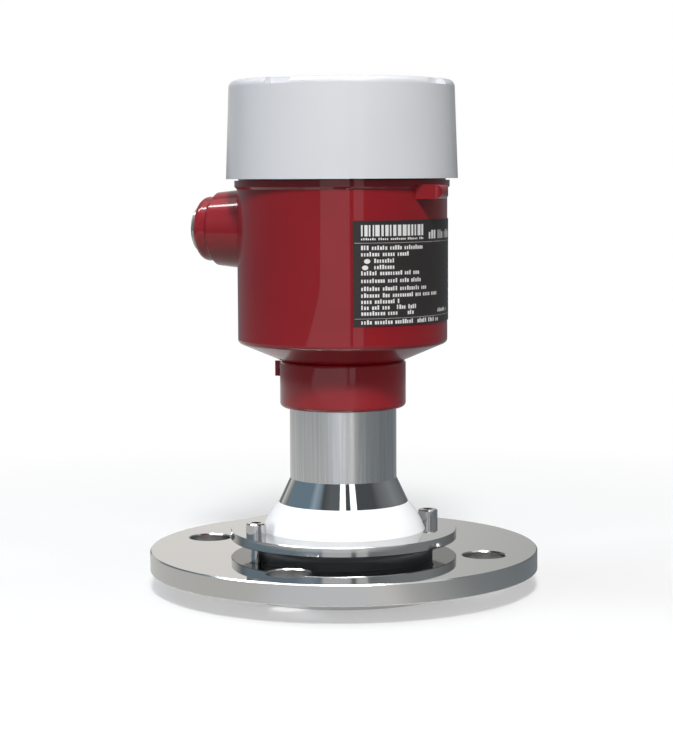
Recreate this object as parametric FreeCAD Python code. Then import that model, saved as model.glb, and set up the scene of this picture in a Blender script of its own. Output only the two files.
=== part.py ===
import FreeCAD, Part
import math
import os
from FreeCAD import Vector

# Radar level transmitter on a flange with a ball joint. Millimetres, +Z up.
# The origin is the centre of the sealing face under the flange, and the cable entry points along -X.

# Process flange, drilled as a standard DN50 PN16 flange
flange_d = 165.0
flange_t = 8.8
bolt_circle_d = 125.0
bolt_hole_d = 18.0
bolt_count = 4
face_d = 102.0
face_h = 8.2
turned_edge = 0.5

# Ball joint
ball_r = 37.0
ball_sink = 5.0
ball_gap = 0.3
ball_cut_below = 5.0
seal_h = 3.9
seal_to_screw = 0.4
clamp_ring_t = 4.1
clamp_ring_beyond_screw = 7.8

# M5 socket screws that hold the clamp ring, drawn at the core of their thread
clamp_screw_beyond_ball = 3.3
clamp_screw_angle = 45.0
clamp_screw_count = 2
clamp_core_d = 4.2
clamp_head_d = 8.5
clamp_head_h = 5.0
clamp_socket = 4.0
clamp_socket_depth = 2.6
clamp_hole_d = 5.5
clamp_screw_grip = 8.0
clamp_hole_spare = 1.0

# Room on either side of a sealing ring in its groove
groove_margin = 0.3

# Lens, horn and waveguide
lens_d = 66.0
lens_edge_t = 4.0
lens_bulge_out = 2.0
lens_bulge_in = 8.0
lens_ring_d = 1.8
horn_mouth_d = 60.0
horn_wall = 1.6
horn_neck_d = 18.0
horn_neck_socket = 4.0
guide_bore_d = 8.0
guide_wall = 1.0
horn_nut_flats = 27.0
horn_nut_h = 5.0

# Polished cone and neck tube
cone_d = 55.0
cone_h = 10.25
tube_d = 45.3
tube_wall = 2.65
tube_shown = 30.2
cone_spigot_h = 3.0
neck_spigot_in = 2.65
neck_spigot_wall = 2.5
neck_step_in = 3.0
neck_above_floor = 5.0
turning_fit = 0.06
rest_gap = 0.2
neck_ring_d = 2.0
neck_ring_fit = 0.04
neck_ring_count = 2
neck_ring_pitch = 15.0
snap_ring_t = 1.2
snap_ring_out = 3.4
snap_ring_in = 1.2
snap_ring_opening = 30.0
stop_pin_d = 2.5
stop_pin_clear = 1.0
turn_each_way = 165.0
stop_spare_deg = 1.0

# Cast housing
collar_wall = 4.05
collar_h = 19.65
collar_edge = 2.0
collar_top_edge = 1.3
shoulder_rise = 8.0
body_d = 88.5
body_h = 64.3
body_edge = 2.0
rim_out = 1.0
rim_h = 3.6
mouth_in = 0.65
mouth_h = 13.0
mouth_thread_depth = 1.2
housing_wall = 3.1
floor_t = 3.65
cast_fillet = 1.0

# Cable entry with its blanking plug
entry_up = 47.3
entry_d = 31.5
entry_draft_deg = 6.0
entry_out = 11.7
entry_bevel_l = 1.9
entry_step_d = 27.6
entry_step_l = 6.0
entry_round = 3.4
entry_bore_d = 18.4
plug_head_d = 20.6
plug_head_t = 1.5
plug_head_edge = 1.0
plug_thread_l = 14.0
plug_socket = 10.0
plug_socket_depth = 7.0
plug_seal_t = 0.5
plug_seal_d = 20.2

# Lug with the screw that locks the cover
lock_lug_out = 5.75
lock_lug_w = 12.2
lock_lug_h = 6.0
lock_lug_side = 14.1
lock_lug_drop = 1.7
lock_lug_fillet = 2.5
lock_screw_d = 3.8
lock_screw_l = 5.4
lock_screw_sunk = 0.3
lock_socket = 2.0
lock_socket_depth = 2.0

# Lug for the outer earth screw
earth_lug_angle = 165.0
earth_lug_out = 7.6
earth_lug_w = 5.0
earth_lug_h = 6.6
earth_lug_drop = 1.75
earth_hole_in = 3.75
earth_hole_d = 3.9
earth_head_d = 6.6
earth_head_h = 2.6
earth_washer_d = 8.0
earth_washer_t = 1.0
earth_slot_w = 1.0
earth_slot_depth = 1.2
earth_short = 0.6

# Set screw that locks the turned housing on the neck
turn_lock_angle = 100.0
turn_lock_up = 9.0
turn_lock_d = 4.2
turn_lock_sunk = 0.5
turn_lock_gap = 0.25
turn_lock_socket = 2.5
turn_lock_socket_depth = 2.4

# Type label
label_up = 9.4
label_h = 42.4
label_half_deg = 64.0
label_t = 0.3
label_glue = 0.05

# Electronics insert and what sits on its deck
insert_gap = 0.9
insert_lift = 9.5
insert_deck_under_mouth = 7.7
insert_rim_h = 3.0
insert_rim_t = 1.6
insert_edge = 1.0
insert_post_in = 8.5
insert_post_d = 8.0
insert_post_count = 3
insert_screw_d = 3.0
insert_screw_hole_d = 3.4
insert_screw_head_d = 6.0
insert_screw_head_h = 2.4
insert_screw_depth = 6.0
insert_screw_slot_w = 1.0
insert_screw_slot_depth = 1.2
wire_bay_depth = 12.6
wire_bay_w = 28.0
wire_bay_below_entry = 15.0
module_d = 48.0
module_h = 12.0
module_gap = 0.3
module_fit = 0.2
module_port_depth = 6.0

terminal_count = 5
terminal_pitch = 8.0
terminal_w = 12.0
terminal_h = 12.0
terminal_x = -14.0
terminal_edge = 0.5
terminal_well_d = 5.0
terminal_screw_d = 4.6
terminal_screw_h = 4.0
terminal_screw_sunk = 1.2
terminal_slot_w = 0.9
terminal_slot_depth = 1.0
terminal_wire_d = 3.6
terminal_wire_up = 4.0
terminal_wire_l = 8.0

dial_count = 3
dial_pitch = 14.0
dial_x = 14.0
dial_case_w = 10.0
dial_case_h = 5.0
dial_d = 6.4
dial_fit = 0.1
dial_sunk = 3.0
dial_proud = 0.4
dial_slot_w = 1.0
dial_slot_l = 4.6
dial_slot_depth = 1.0

inner_earth_x = 4.0
inner_earth_in = 10.6
inner_earth_w = 8.0
inner_earth_h = 4.0
inner_earth_wire_d = 2.4
inner_earth_screw_d = 3.0
inner_earth_head_d = 5.6
inner_earth_head_h = 2.0
inner_earth_slot_w = 1.0
inner_earth_slot_depth = 1.0

# Cover
cover_gap = 0.65
cover_out = 3.45
cover_h = 40.95
cover_draft_deg = 2.0
cover_top_edge = 3.0
cover_top_t = 3.8
cover_bore_gap = 0.3
cover_thread_l = 9.0
cover_seal_out = 2.8
cover_seal_room = 4.0
cover_inside_out = 0.6
cover_ring_fit = 0.05
notch_count = 4
notch_angle = 77.0
notch_w = 12.4
notch_depth = 2.7
notch_in = 5.0

# Diameters and reaches worked out from the sizes above
clamp_screw_circle_d = 2 * (ball_r + clamp_screw_beyond_ball)
clamp_ring_d = clamp_screw_circle_d + 2 * clamp_ring_beyond_screw
seal_d = clamp_screw_circle_d - clamp_core_d - 2 * seal_to_screw
collar_d = tube_d + 2 * collar_wall
neck_spigot_d = tube_d - 2 * neck_spigot_in
rim_d = body_d + 2 * rim_out
mouth_d = body_d - 2 * mouth_in
entry_reach = body_d / 2 + entry_out
entry_step_reach = entry_reach + entry_bevel_l
entry_end = entry_step_reach + entry_step_l
lock_lug_reach = body_d / 2 + lock_lug_out
earth_lug_reach = collar_d / 2 + earth_lug_out
earth_hole_x = earth_lug_reach - earth_hole_in
cavity_r = mouth_d / 2 - housing_wall
insert_r = cavity_r - insert_gap
insert_post_circle_d = 2 * (cavity_r - insert_post_in)
stop_pin_end = (insert_post_circle_d - insert_post_d) / 2 - stop_pin_clear
inner_earth_y = inner_earth_in - insert_r
cover_d = rim_d + 2 * cover_out
cover_seal_bore_d = mouth_d + 2 * cover_seal_out
cover_inside_d = mouth_d + 2 * cover_inside_out

# Heights worked out from the sizes above
flange_top = face_h + flange_t
ball_z = flange_top - ball_sink
ball_low = ball_z - ball_cut_below
ring_z = flange_top + seal_h
ring_top = ring_z + clamp_ring_t
lens_top = ball_low + lens_edge_t
cone_z = ball_z + math.sqrt(ball_r ** 2 - (cone_d / 2) ** 2)
tube_z = cone_z + cone_h
horn_throat_z = cone_z - horn_wall
horn_neck_top = tube_z + horn_nut_h
guide_z = horn_neck_top - horn_neck_socket
collar_z = tube_z + tube_shown
neck_step_z = collar_z + neck_step_in
collar_top = collar_z + collar_h
earth_hole_z = collar_top - earth_lug_drop - earth_lug_h / 2
shoulder_z = collar_top + shoulder_rise
floor_z = shoulder_z + floor_t
neck_top = floor_z + neck_above_floor
snap_ring_z = floor_z + rest_gap
stop_pin_z = (snap_ring_z + snap_ring_t + neck_top) / 2
rim_z = shoulder_z + body_h
rim_top = rim_z + rim_h
mouth_top = rim_top + mouth_h
entry_z = shoulder_z + entry_up
insert_z = floor_z + insert_lift
deck_z = mouth_top - insert_deck_under_mouth
terminal_top = deck_z + terminal_h
terminal_screw_top = terminal_top - terminal_screw_sunk
terminal_well_low = terminal_screw_top - terminal_screw_h
dial_z = deck_z + dial_case_h - dial_sunk
inner_earth_top = deck_z + inner_earth_h
cover_z = rim_top + cover_gap
cover_top = cover_z + cover_h
cover_ring_top = cover_z + cover_seal_room
module_z = neck_top + module_gap
lock_lug_top = rim_top - lock_lug_drop

up = Vector(0, 0, 1)
origin = Vector(0, 0, 0)


def turned(start, *steps):
    """Turn a closed profile about the Z axis. A step is the next corner as (radius, height),
    or a pair of such points, (through, end), for an arc."""
    def place(point):
        return Vector(point[0], 0, point[1])

    edges = []
    here = start
    for step in steps:
        if isinstance(step[0], tuple):
            through, end = step
            edges.append(Part.Arc(place(here), place(through), place(end)).toShape())
        else:
            end = step
            edges.append(Part.makeLine(place(here), place(end)))
        here = end
    if math.dist(here, start) > 1e-6:
        edges.append(Part.makeLine(place(here), place(start)))
    solid = Part.Face(Part.Wire(edges)).revolve(origin, up, 360)
    if solid.Volume < 0:
        solid.reverse()
    return solid


def rod(diameter, z_low, z_high):
    """Upright round bar on the Z axis."""
    return Part.makeCylinder(diameter / 2, z_high - z_low, Vector(0, 0, z_low))


def ring(inner_d, outer_d, z_low, z_high):
    """Flat ring on the Z axis."""
    return rod(outer_d, z_low, z_high).cut(rod(inner_d, z_low, z_high))


def torus(mean_d, section_d, height):
    """Round sealing ring on the Z axis."""
    return Part.makeTorus(mean_d / 2, section_d / 2, Vector(0, 0, height))


def block(x_low, x_high, y_low, y_high, z_low, z_high):
    """Box between two corners."""
    return Part.makeBox(x_high - x_low, y_high - y_low, z_high - z_low, Vector(x_low, y_low, z_low))


def hexagon(flats, z_low, z_high):
    """Upright six-sided bar on the Z axis."""
    corner_r = flats / math.sqrt(3)
    points = []
    for turn in range(7):
        angle = math.radians(60 * turn)
        points.append(Vector(corner_r * math.cos(angle), corner_r * math.sin(angle), z_low))
    return Part.Face(Part.makePolygon(points)).extrude(Vector(0, 0, z_high - z_low))


def moved(shape, x=0.0, y=0.0, z=0.0):
    """Copy of a shape, shifted."""
    copy = shape.copy()
    copy.translate(Vector(x, y, z))
    return copy


def swung(shape, angle):
    """Copy of a shape, turned about the Z axis."""
    copy = shape.copy()
    copy.rotate(origin, up, angle)
    return copy


def tipped(shape, axis, angle):
    """Copy of a shape, turned about another axis through the origin."""
    copy = shape.copy()
    copy.rotate(origin, axis, angle)
    return copy


def around(shape, count, circle_d, first_angle):
    """Copies of a shape, spaced evenly on a circle about the Z axis."""
    out = moved(shape, x=circle_d / 2)
    return [swung(out, first_angle + 360.0 * step / count) for step in range(count)]


def softened(solid, radius, z, edge_d):
    """Round the circular edges of one diameter at one height."""
    picked = []
    for edge in solid.Edges:
        is_circle = isinstance(edge.Curve, Part.Circle)
        if is_circle and abs(edge.Curve.Radius - edge_d / 2) < 0.01 and abs(edge.Curve.Center.z - z) < 0.01:
            picked.append(edge)
    return solid.makeFillet(radius, picked)


def on_ball(height, radius):
    """Radius of a ball about the joint's centre at a height."""
    return math.sqrt(radius ** 2 - (height - ball_z) ** 2)


def ball_arc(z_from, z_to, radius):
    """Arc on a ball about the joint's centre, as (through, end) points of a profile."""
    middle = (z_from + z_to) / 2
    return ((on_ball(middle, radius), middle), (on_ball(z_to, radius), z_to))


def dome(rim_r, rim_z_level, bulge):
    """Arc from a rim to the axis, as (through, end) points of a profile."""
    dome_r = (rim_r ** 2 + bulge ** 2) / (2 * abs(bulge))
    side = math.copysign(1, bulge)
    half = rim_r / 2
    through_z = rim_z_level + bulge - side * (dome_r - math.sqrt(dome_r ** 2 - half ** 2))
    return ((half, through_z), (0, rim_z_level + bulge))


def process_flange():
    """Turned flange with its raised sealing face and the lower half of the ball's seat."""
    flange_r = flange_d / 2
    face_r = face_d / 2
    seat_r = ball_r + ball_gap
    edge = turned_edge
    body = turned(
        (on_ball(0, seat_r), 0),
        (face_r - edge, 0),
        (face_r, edge),
        (face_r, face_h),
        (flange_r - edge, face_h),
        (flange_r, face_h + edge),
        (flange_r, flange_top - edge),
        (flange_r - edge, flange_top),
        (seat_r, flange_top),
        (seat_r, ball_z),
        ball_arc(ball_z, 0, seat_r),
    )
    hole_r = bolt_hole_d / 2
    hole = turned(
        (0, face_h),
        (hole_r + edge, face_h),
        (hole_r, face_h + edge),
        (hole_r, flange_top - edge),
        (hole_r + edge, flange_top),
        (0, flange_top),
    )
    tapped = rod(clamp_core_d, flange_top - clamp_screw_grip - clamp_hole_spare, flange_top)
    holes = around(hole, bolt_count, bolt_circle_d, 0)
    holes += around(tapped, clamp_screw_count, clamp_screw_circle_d, clamp_screw_angle)
    return body.cut(holes)


def clamp_ring():
    """Ring that holds the ball down, bored to the ball's shape."""
    ring_r = clamp_ring_d / 2
    seat_r = ball_r + ball_gap
    edge = turned_edge / 2
    body = turned(
        (on_ball(ring_z, seat_r), ring_z),
        (ring_r - edge, ring_z),
        (ring_r, ring_z + edge),
        (ring_r, ring_top - edge),
        (ring_r - edge, ring_top),
        (on_ball(ring_top, seat_r), ring_top),
        ball_arc(ring_top, ring_z, seat_r),
    )
    hole = rod(clamp_hole_d, ring_z, ring_top)
    return body.cut(around(hole, clamp_screw_count, clamp_screw_circle_d, clamp_screw_angle))


def clamp_screws():
    """Socket head screws through the clamp ring into the flange."""
    head_r = clamp_head_d / 2
    head_top = ring_top + clamp_head_h
    edge = turned_edge
    screw = turned(
        (0, flange_top - clamp_screw_grip),
        (clamp_core_d / 2, flange_top - clamp_screw_grip),
        (clamp_core_d / 2, ring_top),
        (head_r, ring_top),
        (head_r, head_top - edge),
        (head_r - edge, head_top),
        (0, head_top),
    )
    screw = screw.cut(hexagon(clamp_socket, head_top - clamp_socket_depth, head_top))
    return around(screw, clamp_screw_count, clamp_screw_circle_d, clamp_screw_angle)


def ball_seal():
    """Rubber ring squeezed between the flange and the clamp ring, shaped to the ball."""
    seat_r = ball_r + ball_gap
    return turned(
        (on_ball(flange_top, seat_r), flange_top),
        (seal_d / 2, flange_top),
        (seal_d / 2, ring_z),
        (on_ball(ring_z, seat_r), ring_z),
        ball_arc(ring_z, flange_top, seat_r),
    )


def horn_outline(inner):
    """Radii of the horn at its mouth and its throat, inside or outside."""
    wall = 0 if inner else horn_wall
    throat = guide_bore_d / 2 if inner else horn_neck_d / 2
    return horn_mouth_d / 2 + wall, throat


def swivel_ball():
    """Plastic ball, cut flat above and below and bored for the lens and the horn."""
    mouth_r, throat_r = horn_outline(False)
    return turned(
        (lens_d / 2, ball_low),
        (on_ball(ball_low, ball_r), ball_low),
        ball_arc(ball_low, cone_z, ball_r),
        (throat_r, cone_z),
        (throat_r, horn_throat_z),
        (mouth_r, lens_top),
        (lens_d / 2, lens_top),
    )


def lens_groove(depth):
    """Groove for the sealing ring round the lens."""
    middle = (ball_low + lens_top) / 2
    width = lens_ring_d + groove_margin
    return ring(lens_d - 2 * depth, lens_d, middle - width / 2, middle + width / 2)


def antenna_lens():
    """Lens of solid plastic that closes the ball from below."""
    inside_r = horn_mouth_d / 2
    through_low, tip_low = dome(lens_d / 2 - lens_edge_t, ball_low, -lens_bulge_out)
    through_high, tip_high = dome(inside_r, lens_top, lens_bulge_in)
    body = turned(
        tip_low,
        (through_low, (lens_d / 2 - lens_edge_t, ball_low)),
        (lens_d / 2, ball_low),
        (lens_d / 2, lens_top),
        (inside_r, lens_top),
        (through_high, tip_high),
    )
    return body.cut(lens_groove(lens_ring_d))


def lens_ring():
    """Sealing ring between the lens and the ball."""
    return torus(lens_d - lens_ring_d, lens_ring_d, (ball_low + lens_top) / 2)


def antenna_horn():
    """Metal horn behind the lens, with a threaded neck up through the ball and the cone."""
    mouth_r, neck_r = horn_outline(False)
    mouth_in, bore_r = horn_outline(True)
    body = turned(
        (mouth_in, lens_top),
        (mouth_r, lens_top),
        (neck_r, horn_throat_z),
        (neck_r, horn_neck_top),
        (bore_r, horn_neck_top),
        (bore_r, horn_throat_z),
    )
    return body.cut(rod(guide_bore_d + 2 * guide_wall, guide_z, horn_neck_top))


def horn_nut():
    """Nut inside the tube that draws the horn, the ball and the cone together."""
    return hexagon(horn_nut_flats, tube_z, horn_neck_top).cut(rod(horn_neck_d, tube_z, horn_neck_top))


def neck_cone():
    """Polished cone on the ball, with a spigot for the tube."""
    spigot_r = tube_d / 2 - tube_wall
    nut_room = horn_nut_flats / math.sqrt(3) + turned_edge
    return turned(
        (horn_neck_d / 2, cone_z),
        (cone_d / 2, cone_z),
        (tube_d / 2, tube_z),
        (spigot_r, tube_z),
        (spigot_r, tube_z + cone_spigot_h),
        (nut_room, tube_z + cone_spigot_h),
        (nut_room, tube_z),
        (horn_neck_d / 2, tube_z),
    )


def neck_ring_heights():
    """Heights of the sealing rings, centred in the collar."""
    middle = (neck_step_z + floor_z) / 2
    start = middle - neck_ring_pitch * (neck_ring_count - 1) / 2
    return [start + neck_ring_pitch * step for step in range(neck_ring_count)]


def neck_tube():
    """Brushed tube, stepped down where the housing turns on it, with its ring grooves."""
    tube_r = tube_d / 2
    bore_r = tube_r - tube_wall
    spigot_r = neck_spigot_d / 2
    spigot_bore_r = spigot_r - neck_spigot_wall
    step_under = neck_step_z - neck_spigot_wall - (bore_r - spigot_bore_r)
    body = turned(
        (bore_r, tube_z),
        (tube_r, tube_z),
        (tube_r, neck_step_z),
        (spigot_r, neck_step_z),
        (spigot_r, neck_top),
        (spigot_bore_r, neck_top),
        (spigot_bore_r, neck_step_z - neck_spigot_wall),
        (bore_r, step_under),
    )
    groove_d = neck_spigot_d - 2 * neck_ring_d + 2 * (turning_fit - neck_ring_fit)
    for height in neck_ring_heights():
        half = neck_ring_d / 2 + groove_margin
        body = body.cut(ring(groove_d, neck_spigot_d, height - half, height + half))
    groove_in = neck_spigot_d - 2 * snap_ring_in
    body = body.cut(ring(groove_in, neck_spigot_d, snap_ring_z, snap_ring_z + snap_ring_t))
    hole = Part.makeCylinder(stop_pin_d / 2, spigot_r, Vector(0, 0, stop_pin_z), Vector(1, 0, 0))
    return body.cut(hole)


def neck_rings():
    """Sealing rings between the tube and the turning housing."""
    mean_d = neck_spigot_d + 2 * (turning_fit - neck_ring_fit) - neck_ring_d
    return [torus(mean_d, neck_ring_d, height) for height in neck_ring_heights()]


def snap_ring():
    """Open spring ring that keeps the housing on the tube."""
    inner_d = neck_spigot_d - 2 * snap_ring_in
    outer_d = neck_spigot_d + 2 * snap_ring_out
    body = ring(inner_d, outer_d, snap_ring_z, snap_ring_z + snap_ring_t)
    half = math.tan(math.radians(snap_ring_opening / 2)) * outer_d
    corners = [origin, Vector(outer_d, -half, 0), Vector(outer_d, half, 0), origin]
    wedge = Part.Face(Part.makePolygon(corners)).extrude(Vector(0, 0, snap_ring_t))
    return body.cut(moved(wedge, z=snap_ring_z))


def stop_pin():
    """Radial pin in the tube that ends the housing's turn."""
    start_x = neck_spigot_d / 2 - neck_spigot_wall
    start = Vector(start_x, 0, stop_pin_z)
    return Part.makeCylinder(stop_pin_d / 2, stop_pin_end - start_x, start, Vector(1, 0, 0))


def waveguide():
    """Tube that leads the signal from the horn up to the radar module."""
    outer_d = guide_bore_d + 2 * guide_wall
    return ring(guide_bore_d, outer_d, guide_z, neck_top)


def stop_rib():
    """Rib on the housing's floor that the stop pin meets at either end of the turn."""
    inner_r = neck_spigot_d / 2 + snap_ring_out + 2 * rest_gap
    outer_r = stop_pin_end + 2 * cast_fillet
    pin_half = math.degrees(math.asin(stop_pin_d / 2 / inner_r))
    half = 180 - turn_each_way - pin_half - stop_spare_deg
    corners = [
        Vector(inner_r, 0, floor_z - cast_fillet),
        Vector(outer_r, 0, floor_z - cast_fillet),
        Vector(outer_r, 0, neck_top),
        Vector(inner_r, 0, neck_top),
        Vector(inner_r, 0, floor_z - cast_fillet),
    ]
    face = Part.Face(Part.makePolygon(corners))
    return swung(face.revolve(origin, up, 2 * half), 180 - half)


def housing_outside():
    """Turned outer form of the casting: collar, shoulder, body, rim and the mouth, cut to the
    core of its thread above the seat of the cover's ring."""
    collar_r = collar_d / 2
    ledge_r = collar_r - collar_top_edge
    body_r = body_d / 2
    rim_r = rim_d / 2
    mouth_r = mouth_d / 2
    core_r = mouth_r - mouth_thread_depth
    body = turned(
        (0, collar_z),
        (collar_r, collar_z),
        (collar_r, collar_top - collar_top_edge),
        ((ledge_r + collar_top_edge * math.sqrt(0.5), collar_top - collar_top_edge * (1 - math.sqrt(0.5))),
         (ledge_r, collar_top)),
        (body_r, shoulder_z),
        (body_r, rim_z),
        (rim_r, rim_z + rim_out),
        (rim_r, rim_top),
        (mouth_r, rim_top),
        (mouth_r, cover_ring_top),
        (core_r, cover_ring_top + mouth_thread_depth),
        (core_r, mouth_top - turned_edge),
        (core_r - turned_edge, mouth_top),
        (0, mouth_top),
    )
    body = softened(body, collar_edge, collar_z, collar_d)
    return softened(body, body_edge, shoulder_z, body_d)


def toward_entry(shape):
    """Stand an upright shape out along the cable entry, at its height."""
    return moved(tipped(shape, Vector(0, 1, 0), -90), z=entry_z)


def entry_boss():
    """Drafted round boss with a smaller step, rounded at its end, where the cable would come in."""
    entry_r = entry_d / 2
    root_r = entry_r + (entry_reach - cavity_r) * math.tan(math.radians(entry_draft_deg))
    step_r = entry_step_d / 2
    boss = turned(
        (0, cavity_r),
        (root_r, cavity_r),
        (entry_r, entry_reach),
        (step_r, entry_step_reach),
        (step_r, entry_end),
        (0, entry_end),
    )
    return toward_entry(softened(boss, entry_round, entry_end, entry_step_d))


def lock_lug():
    """Block under the cover's edge that carries the lock screw."""
    near_y = -lock_lug_side - lock_lug_w / 2
    far_y = -lock_lug_side + lock_lug_w / 2
    lug = block(0, lock_lug_reach, near_y, far_y, lock_lug_top - lock_lug_h, lock_lug_top)
    outer = [edge for edge in lug.Edges if edge.BoundBox.XMin > lock_lug_reach - 0.01]
    return lug.makeFillet(lock_lug_fillet, outer)


def earth_lug():
    """Flat lug on the collar for the outer earth screw."""
    top = earth_hole_z + earth_lug_h / 2
    lug = block(0, earth_lug_reach, -earth_lug_w / 2, earth_lug_w / 2, top - earth_lug_h, top)
    return swung(lug, earth_lug_angle)


def across_earth_lug(diameter, y_low, y_high):
    """Round bar through the earth lug, along its cross hole."""
    start = Vector(earth_hole_x, y_low, earth_hole_z)
    bar = Part.makeCylinder(diameter / 2, y_high - y_low, start, Vector(0, 1, 0))
    return swung(bar, earth_lug_angle)


def turn_lock_bar(diameter, r_low, r_high):
    """Radial round bar through the collar's wall, where the set screw goes."""
    start = Vector(r_low, 0, collar_z + turn_lock_up)
    bar = Part.makeCylinder(diameter / 2, r_high - r_low, start, Vector(1, 0, 0))
    return swung(bar, turn_lock_angle)


def lock_screw_place(shape):
    """Put an upright shape on the axis of the cover's lock screw."""
    x = lock_lug_reach - (lock_lug_reach - math.sqrt((body_d / 2) ** 2 - lock_lug_side ** 2)) / 2
    return moved(shape, x=x, y=-lock_lug_side)


def housing():
    """Cast housing with its boss, lugs, inner posts and bores."""
    body = housing_outside().fuse([entry_boss(), lock_lug(), earth_lug()])
    cavity = turned(
        (0, floor_z),
        (cavity_r - collar_edge, floor_z),
        ((cavity_r - collar_edge * (1 - math.sqrt(0.5)), floor_z + collar_edge * (1 - math.sqrt(0.5))),
         (cavity_r, floor_z + collar_edge)),
        (cavity_r, mouth_top),
        (0, mouth_top),
    )
    body = body.cut(cavity)
    post = rod(insert_post_d, floor_z - cast_fillet, insert_z)
    posts = around(post, insert_post_count, insert_post_circle_d, 0)
    body = body.fuse(posts + [stop_rib()])
    tapped = rod(insert_screw_d, insert_z - insert_screw_depth, insert_z)
    cuts = around(tapped, insert_post_count, insert_post_circle_d, 0)
    cuts.append(rod(tube_d + 2 * turning_fit, collar_z, neck_step_z + rest_gap))
    cuts.append(rod(neck_spigot_d + 2 * turning_fit, neck_step_z, floor_z))
    cuts.append(toward_entry(rod(entry_bore_d, cavity_r / 2, entry_end)))
    cuts.append(lock_screw_place(rod(lock_screw_d, lock_lug_top - lock_lug_h, lock_lug_top)))
    cuts.append(across_earth_lug(earth_hole_d, -earth_lug_w, earth_lug_w))
    cuts.append(turn_lock_bar(turn_lock_d, neck_spigot_d / 2, collar_d / 2 + cast_fillet))
    return body.cut(cuts).removeSplitter()


def cover_lock_screw():
    """Set screw that locks the cover, backed off into its lug so that the cover can turn."""
    top = lock_lug_top - lock_screw_sunk
    screw = rod(lock_screw_d, top - lock_screw_l, top)
    socket = hexagon(lock_socket, top - lock_screw_l, top - lock_screw_l + lock_socket_depth)
    return lock_screw_place(screw.cut(socket))


def housing_lock_screw():
    """Set screw in the collar that holds the turned housing."""
    inner_r = neck_spigot_d / 2 + turn_lock_gap
    outer_r = collar_d / 2 - turn_lock_sunk
    screw = turn_lock_bar(turn_lock_d, inner_r, outer_r)
    socket = hexagon(turn_lock_socket, outer_r - turn_lock_socket_depth, outer_r)
    socket = moved(tipped(socket, Vector(0, 1, 0), 90), z=collar_z + turn_lock_up)
    return screw.cut(swung(socket, turn_lock_angle))


def earth_screw():
    """Earth screw, put in from the far side of its lug."""
    far_side = -earth_lug_w / 2
    washer_far = far_side - earth_washer_t
    head_far = washer_far - earth_head_h
    shank = across_earth_lug(earth_hole_d, washer_far, -far_side - earth_short)
    head = across_earth_lug(earth_head_d, head_far, washer_far)
    low_x = earth_hole_x - earth_head_d
    high_x = earth_hole_x + earth_head_d
    low_z = earth_hole_z - earth_slot_w / 2
    high_z = earth_hole_z + earth_slot_w / 2
    slot = block(low_x, high_x, head_far, head_far + earth_slot_depth, low_z, high_z)
    return shank.fuse(head).cut(swung(slot, earth_lug_angle)).removeSplitter()


def earth_washer():
    """Washer under the earth screw's head."""
    far_side = -earth_lug_w / 2
    outer = across_earth_lug(earth_washer_d, far_side - earth_washer_t, far_side)
    return outer.cut(across_earth_lug(earth_hole_d, far_side - earth_washer_t, far_side))


def blanking_plug():
    """Threaded plug that closes the cable entry."""
    head_low = entry_end + plug_seal_t
    head_top = head_low + plug_head_t
    head_r = plug_head_d / 2
    thread_r = entry_bore_d / 2
    plug = turned(
        (0, entry_end - plug_thread_l),
        (thread_r, entry_end - plug_thread_l),
        (thread_r, head_low),
        (head_r, head_low),
        (head_r, head_top - plug_head_edge),
        (head_r - plug_head_edge, head_top),
        (0, head_top),
    )
    plug = plug.cut(hexagon(plug_socket, head_top - plug_socket_depth, head_top))
    return toward_entry(plug)


def plug_seal():
    """Flat sealing ring under the plug's head."""
    return toward_entry(ring(entry_bore_d, plug_seal_d, entry_end, entry_end + plug_seal_t))


def type_label():
    """Thin label bent round the front of the body."""
    back_r = body_d / 2 + label_glue
    front_r = back_r + label_t
    low = shoulder_z + label_up
    corners = [
        Vector(back_r, 0, low),
        Vector(front_r, 0, low),
        Vector(front_r, 0, low + label_h),
        Vector(back_r, 0, low + label_h),
        Vector(back_r, 0, low),
    ]
    sheet = Part.Face(Part.makePolygon(corners)).revolve(origin, up, 2 * label_half_deg)
    return swung(sheet, -label_half_deg)


def electronics_insert():
    """Potted electronics: a drum with a sunk deck, a bay for the wires and screw holes."""
    edge = insert_edge
    drum = turned(
        (0, insert_z),
        (insert_r - edge, insert_z),
        (insert_r, insert_z + edge),
        (insert_r, deck_z + insert_rim_h),
        (insert_r - insert_rim_t, deck_z + insert_rim_h),
        (insert_r - insert_rim_t, deck_z),
        (0, deck_z),
    )
    bay_low = entry_z - wire_bay_below_entry
    bay_x = wire_bay_depth - insert_r
    bay_y = wire_bay_w / 2
    bay = block(-insert_r, bay_x, -bay_y, bay_y, bay_low, deck_z + insert_rim_h)
    hole = rod(insert_screw_hole_d, insert_z, deck_z)
    room = rod(module_d + 2 * module_fit, insert_z, module_z + module_h)
    return drum.cut([bay, room] + around(hole, insert_post_count, insert_post_circle_d, 0))


def insert_screws():
    """Long screws that hold the electronics down on the housing's posts."""
    head_top = deck_z + insert_screw_head_h
    low = insert_z - insert_screw_depth
    head = rod(insert_screw_head_d, deck_z, head_top)
    screw = rod(insert_screw_d, low, deck_z).fuse(head).removeSplitter()
    half = insert_screw_slot_w / 2
    reach = insert_screw_head_d
    slot = block(-reach, reach, -half, half, head_top - insert_screw_slot_depth, head_top)
    return around(screw.cut(slot), insert_post_count, insert_post_circle_d, 0)


def radar_module():
    """Metal can with the radar's circuit, its port above the waveguide."""
    can = rod(module_d, module_z, module_z + module_h)
    return can.cut(rod(guide_bore_d, module_z, module_z + module_port_depth))


def terminal_places():
    """Positions of the terminals along their block."""
    first = -terminal_pitch * (terminal_count - 1) / 2
    return [first + terminal_pitch * step for step in range(terminal_count)]


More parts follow.
